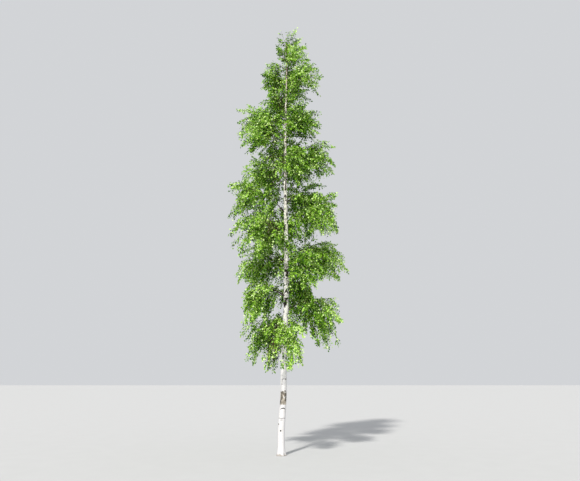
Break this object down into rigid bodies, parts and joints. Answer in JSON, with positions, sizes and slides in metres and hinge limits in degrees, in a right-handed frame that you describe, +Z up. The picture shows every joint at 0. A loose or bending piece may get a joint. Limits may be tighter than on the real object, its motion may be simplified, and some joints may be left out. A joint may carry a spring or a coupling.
{
  "type": "birch tree",
  "caption": "Slender whole birch in summer leaf: a white tapering trunk with a small root flare, thin rising boughs and airy masses of small green leaves.",
  "frame": {"origin": "middle of the flat cut under the trunk, at ground level", "axes": "+Z straight up; the picture looks along +Y, with +X to its right"},
  "size_m": [3.1307, 2.981, 11.197],
  "materials": {
    "white_bark": "matt, papery",
    "bough_bark": "matt",
    "leaves": "satin"
  },
  "bodies": {
    "root": {"trunk": "white_bark", "bough_01": "bough_bark", "bough_02": "bough_bark", "bough_03": "bough_bark", "bough_04": "bough_bark", "bough_05": "bough_bark", "bough_06": "bough_bark", "bough_07": "bough_bark", "bough_08": "bough_bark", "bough_09": "bough_bark", "bough_10": "bough_bark", "bough_11": "bough_bark", "bough_12": "bough_bark", "bough_13": "bough_bark", "bough_14": "bough_bark", "bough_15": "bough_bark", "bough_16": "bough_bark", "bough_17": "bough_bark", "bough_18": "bough_bark", "bough_19": "bough_bark", "bough_20": "bough_bark", "bough_21": "bough_bark", "bough_22": "bough_bark", "bough_23": "bough_bark", "bough_24": "bough_bark", "bough_25": "bough_bark", "bough_26": "bough_bark", "bough_27": "bough_bark", "foliage_01": "leaves", "foliage_02": "leaves", "foliage_03": "leaves", "foliage_04": "leaves", "foliage_05": "leaves", "foliage_06": "leaves", "foliage_07": "leaves", "foliage_08": "leaves", "foliage_09": "leaves", "foliage_10": "leaves", "foliage_11": "leaves", "foliage_12": "leaves", "foliage_13": "leaves", "foliage_14": "leaves", "foliage_15": "leaves", "foliage_16": "leaves", "foliage_17": "leaves", "foliage_18": "leaves", "foliage_19": "leaves", "foliage_20": "leaves", "foliage_21": "leaves", "foliage_22": "leaves", "foliage_23": "leaves", "foliage_24": "leaves", "foliage_25": "leaves", "foliage_26": "leaves", "foliage_27": "leaves", "foliage_top": "leaves"}
  },
  "joints": []
}
